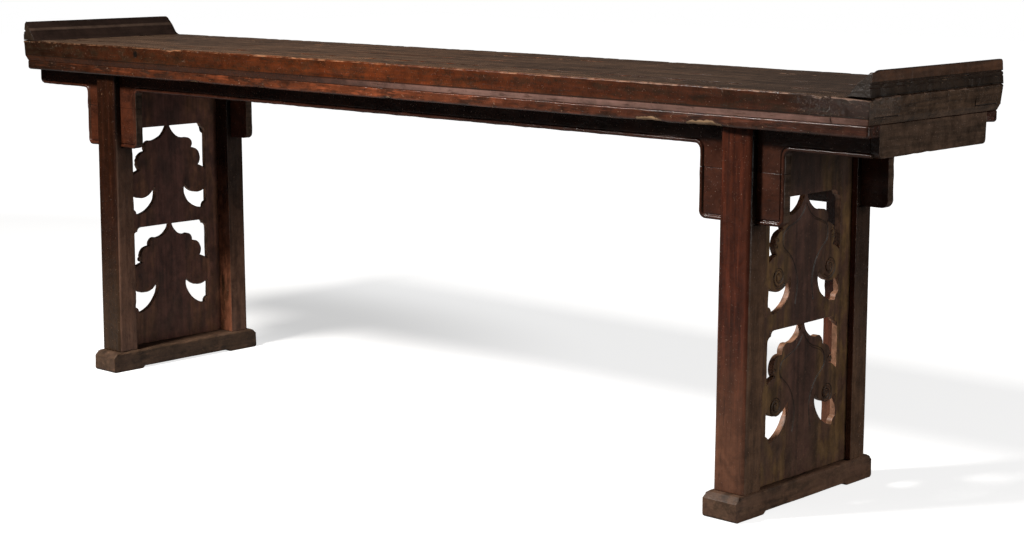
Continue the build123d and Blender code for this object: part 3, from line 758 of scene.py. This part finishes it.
def mergedCopy(mesh):
    # loose triangles joined into whole flat faces
    copy = bmesh.new()
    copy.from_mesh(mesh)
    bmesh.ops.remove_doubles(copy, verts=copy.verts, dist=mergeGap)
    bmesh.ops.dissolve_limit(copy, angle_limit=math.radians(1), verts=copy.verts, edges=copy.edges)
    return copy


def bakedMesh(holder):
    return bpy.data.meshes.new_from_object(holder.evaluated_get(bpy.context.evaluated_depsgraph_get()))


wearSetup = {
    "roundAbove": 30,       # degrees by which the surface turns at an arris
    "sharpAbove": 40,
    "chipFrom": 0.12,       # the ripple from which an arris is chipped
    "chipFull": 0.3,        # and how much more makes the chip full
    "fineBite": 0.4,
    "fineRate": 4,          # times the rate of the chips
    "chipBare": 0.7,
    "fineBare": 0.3,
    "swellRate": 7,
    "calmStep": 0.01,       # height over which the chips return
    "calmLeast": 0.1,
    "spotRate": 60,
}


def held(value, low=0):
    return min(max(value, low), 1)


def ripple(spot, rate, seed):
    return noise.noise(spot * rate + Vector((seed, seed * 1.7, seed * 0.6)))


def wornPiece(name, wear, rows=(), bend=None, bites=(), source=None, still=None):
    # a copy of a node with rounded, chipped arrises and a slightly uneven surface
    # edges stay sharp where still says so
    setup = wearSetup
    mesh = mergedCopy(source or nodes[name].data)
    lowest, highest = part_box(name)
    for axis, levels in rows:
        rowsAt(mesh, axis, levels)
    axis, pitch = wear["slices"]
    sliceAlong(mesh, axis, lowest[axis], highest[axis], pitch)
    carved = {corner for face in mesh.faces if face.material_index for corner in face.verts}
    kept = {corner for corner in mesh.verts if still and still(corner.co)}
    least = math.radians(setup["roundAbove"])
    sharp = [edge for edge in mesh.edges if edge.is_manifold and edge.calc_face_angle() > least
             and not carved.intersection(edge.verts) and not kept.issuperset(edge.verts)]
    tree = kdtree.KDTree(2 * len(sharp))
    for number, edge in enumerate(sharp):
        tree.insert(edge.verts[0].co, 2 * number)
        tree.insert((edge.verts[0].co + edge.verts[1].co) / 2, 2 * number + 1)
    tree.balance()
    done = bmesh.ops.bevel(mesh, geom=sharp, offset=wear["round"], segments=2, profile=0.5, affect="EDGES",
                           clamp_overlap=False, loop_slide=True)
    rounding = set(done["faces"])
    mesh.normal_update()
    layer = mesh.verts.layers.float.new("worn")
    seed = wear["seed"] + len(name)
    moves = []
    low, high = wear["rub"]
    for corner in mesh.verts:
        spot = corner.co.copy()
        gap = tree.find(spot)[2]
        chip = held((ripple(spot, wear["rate"], seed) - setup["chipFrom"]) / setup["chipFull"])
        fine = max(ripple(spot, setup["fineRate"] * wear["rate"], seed + 5), 0)
        arris = math.exp(-(gap / wear["reach"]) ** 2)
        bite = 0 if corner in carved else arris * wear["bite"] * (chip + setup["fineBite"] * fine)
        bite *= held((spot.z - wear["calmUnder"]) / setup["calmStep"], setup["calmLeast"])
        move = corner.normal * (wear["swell"] * ripple(spot, setup["swellRate"], seed + 9) - bite)
        rub = low + (high - low) * (spot.z - lowest.z) / (highest.z - lowest.z)
        rim = math.exp(-(gap / wear["rim"]) ** 2)
        shown = wear["spread"] or all(face in rounding for face in corner.link_faces)
        worn = min(rim * (rub + setup["chipBare"] * chip + setup["fineBare"] * fine), 1) if shown else 0
        for center, size, push, bare in bites:
            share = Vector([(spot[side] - center[side]) / size[side] for side in range(3)]).length
            depth = max(1 - share ** 2, 0) ** 2
            uneven = 0.7 + 0.6 * ripple(spot, setup["spotRate"], seed + 2)
            move += Vector(push) * (depth * uneven)
            worn = max(worn, min(bare * depth * uneven, 1))
        moves.append((corner, move))
        corner[layer] = worn
    for corner, move in moves:
        corner.co += move
        if bend:
            corner.co = bend(corner.co)
    for face in mesh.faces:
        face.material_index = 0
    data = bpy.data.meshes.new(name + "_worn")
    mesh.to_mesh(data)
    mesh.free()
    piece = bpy.data.objects.new(name + "_worn", data)
    scene.collection.objects.link(piece)
    data.shade_smooth()
    data.set_sharp_from_angle(angle=math.radians(setup["sharpAbove"]))
    normals = piece.modifiers.new("normals", "WEIGHTED_NORMAL")
    normals.keep_sharp = True
    return piece


def finishPiece(piece, *names):
    slot = slotOf[names[0]]
    piece.data.materials.clear()
    piece.data.materials.append(materials[slot])
    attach(piece, body)
    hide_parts(*names)


topSetup = {
    "crown": 0.004,         # rise of the top in the middle of its length
    "frameUnder": 0.790,
    "frameHeight": 0.052,
}


def crowned(spot):
    rise = (spot.z - topSetup["frameUnder"]) / topSetup["frameHeight"]
    across = 1 - (spot.x / halfLength) ** 2
    return Vector((spot.x, spot.y, spot.z + topSetup["crown"] * max(rise, 0) * across))


arrisWear = {
    "round": 0.0009,        # radius of the arrises
    "reach": 0.004,         # how far from an arris the wood is chipped
    "rim": 0.0025,          # and how far it is bare
    "bite": 0.0008,         # depth of the chips
    "rate": 50,             # how close together they are
    "swell": 0.0003,        # unevenness of the faces
    "calmUnder": 0,         # below this height there are hardly any chips
    "spread": False,        # bare wood past the rounding itself
}
# slices: axis and distance of the rows of points; rub: how bare the arrises are at the foot and the head
longRailWear = {
    **arrisWear, "slices": (0, 0.009), "round": 0.0013, "reach": 0.005, "rim": 0.0016, "bite": 0.0013,
    "rate": 42, "swell": 0.0005, "rub": (0.1, 0.8), "calmUnder": 0.822, "seed": 3, "spread": True,
}
boardWear = {
    **arrisWear, "slices": (0, 0.03), "round": 0.0006, "rim": 0.002, "bite": 0.0006, "rate": 30,
    "swell": 0.0005, "rub": (0.1, 0.1), "seed": 11,
}
shortRailWear = {
    **arrisWear, "slices": (1, 0.009), "round": 0.0013, "reach": 0.005, "rim": 0.0022, "bite": 0.0016,
    "rate": 44, "swell": 0.0005, "rub": (0.1, 0.6), "calmUnder": 0.8, "seed": 5, "spread": True,
}
lathWear = {
    **arrisWear, "slices": (0, 0.009), "reach": 0.005, "rim": 0.0030, "bite": 0.0020, "rate": 40,
    "rub": (0.6, 0.75), "seed": 7,
}
flangeWear = {
    **arrisWear, "slices": (1, 0.007), "round": 0.0008, "bite": 0.0020, "rate": 55, "rub": (0.2, 0.6),
    "seed": 13,
}
apronWear = {**arrisWear, "slices": (0, 0.012), "rate": 45, "swell": 0.00015, "rub": (0.5, 0.3), "seed": 17}
spandrelWear = {**arrisWear, "slices": (2, 0.012), "swell": 0.0001, "rub": (0.5, 0.4), "seed": 19}
endBoardWear = {
    **arrisWear, "slices": (1, 0.012), "round": 0.0012, "reach": 0.005, "bite": 0.0012, "rate": 40,
    "rub": (0.3, 0.3), "seed": 23,
}
legWear = {
    **arrisWear, "slices": (2, 0.010), "round": 0.0016, "reach": 0.005, "rim": 0.0030, "bite": 0.0016,
    "rate": 34, "rub": (0.5, 0.5), "calmUnder": 0.06, "seed": 29,
}
baseWear = {
    **arrisWear, "slices": (1, 0.010), "round": 0.0018, "reach": 0.007, "rim": 0.0030, "bite": 0.0018,
    "rate": 36, "swell": 0.0006, "rub": (0.3, 0.4), "calmUnder": 0.025, "seed": 31,
}
panelWear = {
    **arrisWear, "slices": (2, 0.02), "round": 0.0011, "swell": 0.0002, "rub": (0.45, 0.45), "seed": 37,
}

# worn spots: the middle, the reach along each axis, how far the wood has gone and how bare it is
bites = {
    "front_top_rail": (((1.195, -0.237, 0.842), (0.045, 0.045, 0.045), (0, 0.003, -0.005), 0.5),
                       ((-0.70, -0.237, 0.842), (0.030, 0.030, 0.030), (0, 0.002, -0.004), 0.9)),
    "right_top_rail": (((1.245, -0.237, 0.842), (0.045, 0.045, 0.045), (0, 0.003, -0.003), 0.5),
                       ((1.30, -0.234, 0.842), (0.035, 0.035, 0.035), (-0.004, 0.004, -0.006), 0.6)),
    "front_edge_lath": (((0.79, -0.230, 0.767), (0.060, 0.020, 0.016), (0, 0.002, 0.004), 2.0),
                        ((0.925, -0.230, 0.767), (0.080, 0.020, 0.017), (0, 0.002, 0.005), 2.0),
                        ((0.06, -0.230, 0.767), (0.018, 0.020, 0.014), (0, 0.002, 0.003), 1.3),
                        ((-0.38, -0.230, 0.767), (0.060, 0.020, 0.009), (0, 0.001, 0.0025), 0.9),
                        ((-0.62, -0.230, 0.767), (0.070, 0.020, 0.009), (0, 0.001, 0.002), 0.9)),
    "right_flange": (((1.290, -0.236, 0.892), (0.036, 0.036, 0.036), (0, 0.008, -0.008), 0.6),),
    "front_right_leg": (((0.99, -0.2105, 0.766), (0.030, 0.030, 0.030), (0, 0.001, 0), 0.5),),
}


def besideArris(level, inward):
    return [level + inward * step for step in (0.004, 0.009)]


pathSetup = {
    "radius": 0.004,
    "sides": 10,            # round the bead or the carving tool
    "uneven": 0.22,         # how much its radius wanders
    "wander": 38.0,
    "seed": 4.0,
}


def makeFollower(setup):
    # a round bar that follows a path, a little thicker here and thinner there
    tree = bpy.data.node_groups.new("followPath", "GeometryNodeTree")
    kinds = {"Geometry": "Geometry", "Radius": "Float", "Sides": "Int", "Uneven": "Float", "Seed": "Float",
             "Finish": "Material"}
    sockets = {}
    for label, kind in kinds.items():
        socket = tree.interface.new_socket(name=label, in_out="INPUT", socket_type="NodeSocket" + kind)
        if label.lower() in setup:
            socket.default_value = setup[label.lower()]
        sockets[label] = socket.identifier
    tree.interface.new_socket(name="Geometry", in_out="OUTPUT", socket_type="NodeSocketGeometry")
    given = place(tree, "NodeGroupInput").outputs
    wander = place(tree, "ShaderNodeTexNoise", {
        "Scale": setup["wander"], "W": given["Seed"]}, noise_dimensions="4D")
    swell = place(tree, "ShaderNodeMapRange", {
        "Value": wander.outputs[0], "From Min": 0.3, "From Max": 0.7,
        "To Min": minus(tree, 1.0, given["Uneven"]), "To Max": plus(tree, 1.0, given["Uneven"])})
    profile = place(tree, "GeometryNodeCurvePrimitiveCircle", {
        "Resolution": given["Sides"], "Radius": given["Radius"]})
    bar = place(tree, "GeometryNodeCurveToMesh", {
        "Curve": given["Geometry"], "Profile Curve": profile.outputs["Curve"],
        "Scale": swell.outputs["Result"], "Fill Caps": True})
    real = place(tree, "GeometryNodeRealizeInstances", {"Geometry": bar.outputs["Mesh"]})
    finished = place(tree, "GeometryNodeSetMaterial", {
        "Geometry": real.outputs["Geometry"], "Material": given["Finish"]})
    place(tree, "NodeGroupOutput", {"Geometry": finished.outputs["Geometry"]})
    return tree, sockets


follower, followerSockets = makeFollower(pathSetup)


def alongPaths(name, paths, radius, finish, uneven=0.0, smooth=False):
    # runs the follower along paths and gives the plain mesh
    curve = bpy.data.curves.new(name, "CURVE")
    curve.dimensions = "3D"
    for points in paths:
        spline = curve.splines.new("NURBS" if smooth else "POLY")
        spline.points.add(len(points) - 1)
        for point, spot in zip(spline.points, points):
            point.co = (*spot, 1)
        if smooth:
            spline.order_u = 3
            spline.use_endpoint_u = True
            spline.resolution_u = 5
    holder = bpy.data.objects.new(name, curve)
    scene.collection.objects.link(holder)
    modifier = holder.modifiers.new("follow", "NODES")
    modifier.node_group = follower
    modifier[followerSockets["Radius"]] = radius
    modifier[followerSockets["Uneven"]] = uneven
    modifier[followerSockets["Finish"]] = finish
    mesh = bakedMesh(holder)
    bpy.data.objects.remove(holder)
    turned = bmesh.new()
    turned.from_mesh(mesh)
    bmesh.ops.recalc_face_normals(turned, faces=turned.faces)
    turned.to_mesh(mesh)
    turned.free()
    return mesh


beadSetup = {
    "radius": 0.0042,
    "sunk": 0.0016,         # how deep the middle of the bead lies in the board
    "inset": 0.004,         # edge of the board to the middle of the bead
    "apronFoot": 0.728,
    "apronCorner": 0.012,   # radius of the board's corner over a spandrel
    "apronEnd": 1.283,
    "apronWorn": 0.42,
    "spandrelCorner": 0.015,
    "spandrelWorn": 0.5,
    "legSides": (0.955, 1.030),
    "joint": 0.683,
    "jointGap": 0.0006,     # each bead stops this far from the joint
    "turnSteps": 7,
    "pitch": 0.012,
}


def quarter(center, radius, start, end, steps):
    # points round part of a circle in the plane of a board, in degrees
    points = []
    for number in range(steps + 1):
        angle = math.radians(start + (end - start) * number / steps)
        points.append((center[0] + radius * math.cos(angle), center[1] + radius * math.sin(angle)))
    return points


def spandrelBead(name, setup):
    # down the free side of a spandrel, round its corner and along its foot
    lowest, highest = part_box(name)
    inner = "inner" in name
    way = 1 if inner else -1
    free = (min if inner else max)(abs(lowest.x), abs(highest.x))
    inset = setup["inset"]
    corner = setup["spandrelCorner"]
    start, end = (180, 270) if inner else (0, -90)
    turn = quarter((free + way * corner, lowest.z + corner), corner - inset, start, end, setup["turnSteps"])
    legSide = setup["legSides"][0 if inner else 1]
    return [(free + way * inset, setup["joint"] - setup["jointGap"]), *turn, (legSide, lowest.z + inset)]


def apronBead(setup):
    # along the foot of an apron and down into its four spandrels, the right half of it
    foot = setup["apronFoot"]
    inset = setup["inset"]
    corner = setup["apronCorner"]
    joint = setup["joint"] + setup["jointGap"]
    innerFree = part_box("front_right_inner_spandrel")[0].x
    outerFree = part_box("front_right_outer_spandrel")[1].x
    inner = quarter((innerFree - corner, foot - corner), corner + inset, 90, 0, setup["turnSteps"])
    outer = quarter((outerFree + corner, foot - corner), corner + inset, 180, 90, setup["turnSteps"])
    return [[(0, foot + inset), *inner, (innerFree + inset, joint)],
            [(outerFree - inset, joint), *outer, (setup["apronEnd"], foot + inset)]]


def beadMesh(name, outlines, setup):
    lowest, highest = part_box(name)
    level = highest.y - setup["sunk"] if name.startswith("back") else lowest.y + setup["sunk"]
    paths = []
    for outline, way in outlines:
        points = [Vector((way * across, level, height)) for across, height in outline]
        evened = [points[0]]
        for start, end in zip(points, points[1:]):
            steps = max(1, round((end - start).length / setup["pitch"]))
            evened += [start.lerp(end, number / steps) for number in range(1, steps + 1)]
        paths.append(evened)
    return alongPaths(name + "_bead", paths, setup["radius"], materials[slotOf[name]], pathSetup["uneven"])


def joinMesh(piece, mesh, worn):
    # adds a second closed shell to a piece, with a wear value of its own
    layer = mesh.attributes.new("worn", "FLOAT", "POINT")
    layer.data.foreach_set("value", [worn] * len(mesh.vertices))
    both = bmesh.new()
    both.from_mesh(piece.data)
    both.from_mesh(mesh)
    both.to_mesh(piece.data)
    both.free()


carvingSetup = {
    "motifTops": (0.621, 0.361),
    "height": 0.226,
    "halfWidth": 0.1215,
    "middle": panelMiddle,
    "tool": 0.0036,         # radius of the gouge
    "toolUneven": 0.12,
    "proud": 0.0013,        # its middle in front of the face
    # the line inside the outline, as shares of the half width across and of the height down
    "fieldLine": ((0.0, 0.075), (0.10, 0.165), (0.25, 0.22), (0.44, 0.25), (0.60, 0.29), (0.645, 0.36),
                  (0.63, 0.43), (0.50, 0.48), (0.37, 0.54), (0.25, 0.65), (0.185, 0.79), (0.26, 0.955)),
    # rolled ends: middle, first and last radius, first angle and turns
    "rolls": (((0.725, 0.685), 0.0250, 0.0045, 215, 1.75), ((0.795, 0.375), 0.0100, 0.0045, 250, 0.8)),
    "rollPoints": 24,
    "rollPower": 0.85,      # under 1 the turns lie wider apart at the start
    "ridge": 0.0019,        # radius of the ridge beside a roll's line
    "ridgeUneven": 0.15,
    "ridgeSunk": 0.0007,
    "ridgeInset": 0.0040,
    "ridgeWorn": 0.5,
}


def carvingPaths(face, setup, inset=0.0):
    # the lines, or with an inset only the ridges inside the rolls
    paths = []
    for motifTop in setup["motifTops"]:
        for way in (-1, 1):
            def at(across, down):
                aside = setup["middle"] + way * setup["halfWidth"] * across
                return Vector((face, aside, motifTop - setup["height"] * down))

            if not inset:
                paths.append([at(*point) for point in setup["fieldLine"]])
            for center, first, last, start, turns in setup["rolls"]:
                roll = []
                for number in range(setup["rollPoints"]):
                    share = number / (setup["rollPoints"] - 1)
                    angle = math.radians(start) + share * turns * 2 * math.pi
                    inward = (share * (1 - inset / first)) ** setup["rollPower"]
                    radius = first - inset + (last - first) * inward
                    roll.append(at(*center) + radius * Vector((0, way * math.cos(angle), math.sin(angle))))
                paths.append(roll)
    return paths


def carvedCopy(name, face, setup):
    # the panel with its carved lines cut in; the cut faces keep the second material for a while
    plain = mergedCopy(nodes[name].data)
    mesh = bpy.data.meshes.new(name + "_carved")
    plain.to_mesh(mesh)
    plain.free()
    mesh.materials.clear()
    mesh.materials.append(materials["panel_wood"])
    panel = bpy.data.objects.new(name + "_carved", mesh)
    scene.collection.objects.link(panel)
    for path in carvingPaths(face + math.copysign(setup["proud"], face), setup):
        gouge = alongPaths("gouge", [path], setup["tool"], materials["bare_wood"], setup["toolUneven"], True)
        tool = bpy.data.objects.new("gouge", gouge)
        scene.collection.objects.link(tool)
        cut = panel.modifiers.new("cut", "BOOLEAN")
        cut.object = tool
        cut.solver = "EXACT"
        cut.material_mode = "TRANSFER"
        panel.data = bakedMesh(panel)
        panel.modifiers.remove(cut)
        bpy.data.objects.remove(tool)
    carved = panel.data
    bpy.data.objects.remove(panel)
    return carved


def mirroredMesh(mesh):
    # the same mesh on the other side of the table, its faces still outward
    turned = bmesh.new()
    turned.from_mesh(mesh)
    bmesh.ops.scale(turned, verts=turned.verts, vec=(-1, 1, 1))
    bmesh.ops.remove_doubles(turned, verts=turned.verts, dist=mergeGap)
    bmesh.ops.recalc_face_normals(turned, faces=turned.faces)
    result = mesh.copy()
    turned.to_mesh(result)
    turned.free()
    return result


def finishPlain(name, wear, rows=(), bend=None, still=None):
    finishPiece(wornPiece(name, wear, rows, bend, bites.get(name, ()), still=still), name)


seamSetup = {
    "longRail": 1.2195,
    "shortRail": 1.2205,
    "endFace": 1.303,
    "endHalfDepth": 0.226,
    "endHeights": (0.8055, 0.834),
}

# heights, or places along Y, of rows of points beside the mouldings
rowSetup = {
    "longRail": [0.807, 0.813],
    "shortRail": [0.807],
    "shortRailEnds": [-0.233, -0.228, 0.228, 0.233],
    "lath": [0.7705, 0.7745, 0.780, 0.786],
}


def pastSeam(spot):
    # the tenons of a long rail
    return abs(spot.x) > seamSetup["longRail"]


def inMortise(spot):
    # where a short rail meets the long ones, and the middle of its outer face
    low, high = seamSetup["endHeights"]
    inMiddle = abs(spot.y) < seamSetup["endHalfDepth"] and low < spot.z < high
    return abs(spot.x) < seamSetup["shortRail"] or (abs(spot.x) > seamSetup["endFace"] and inMiddle)


def outerFace(name, axis, outward):
    lowest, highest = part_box(name)
    return highest[axis] if outward > 0 else lowest[axis]


def headRows(name):
    return besideArris(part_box(name)[1].z, -1)


ends = (("left", -1), ("right", 1))
for side, outward in (("front", -1), ("back", 1)):
    name = side + "_top_rail"
    edge = besideArris(outerFace(name, 1, outward), -outward)
    rows = ((1, edge), (2, [*rowSetup["longRail"], *headRows(name)]))
    finishPlain(name, longRailWear, rows, crowned, pastSeam)
    finishPlain(side + "_top_board", boardWear, (), crowned)
    finishPlain(side + "_edge_lath", lathWear, ((2, rowSetup["lath"]),))
    name = side + "_apron"
    apron = wornPiece(name, apronWear)
    halves = [(outline, way) for outline in apronBead(beadSetup) for way in (-1, 1)]
    joinMesh(apron, beadMesh(name, halves, beadSetup), beadSetup["apronWorn"])
    finishPiece(apron, name)
    for end, way in ends:
        for kind in ("inner", "outer"):
            name = f"{side}_{end}_{kind}_spandrel"
            spandrel = wornPiece(name, spandrelWear)
            bead = beadMesh(name, [(spandrelBead(name, beadSetup), way)], beadSetup)
            joinMesh(spandrel, bead, beadSetup["spandrelWorn"])
            finishPiece(spandrel, name)
        finishPlain(f"{side}_{end}_leg", legWear)
print("rails, aprons and legs ready")
leftPanel = carvedCopy("left_openwork_panel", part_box("left_openwork_panel")[0].x, carvingSetup)
carvedPanels = {"left": leftPanel, "right": mirroredMesh(leftPanel)}
for end, outward in ends:
    name = end + "_top_rail"
    edge = besideArris(outerFace(name, 0, outward), -outward)
    rows = ((0, edge), (1, rowSetup["shortRailEnds"]), (2, [*rowSetup["shortRail"], *headRows(name)]))
    finishPlain(name, shortRailWear, rows, crowned, inMortise)
    finishPlain(end + "_flange", flangeWear)
    finishPlain(end + "_end_board", endBoardWear)
    finishPlain(end + "_base_rail", baseWear)
    name = end + "_openwork_panel"
    panel = wornPiece(name, panelWear, source=carvedPanels[end])
    face = outerFace(name, 0, outward) - outward * carvingSetup["ridgeSunk"]
    ridges = carvingPaths(face, carvingSetup, carvingSetup["ridgeInset"])
    rolls = alongPaths(name + "_rolls", ridges, carvingSetup["ridge"], materials["panel_wood"],
                       carvingSetup["ridgeUneven"], True)
    joinMesh(panel, rolls, carvingSetup["ridgeWorn"])
    finishPiece(panel, name)
print("ends, bases and panels ready")

for name, node in nodes.items():
    node.data.materials.clear()
    node.data.materials.append(materials[slotOf[name]])
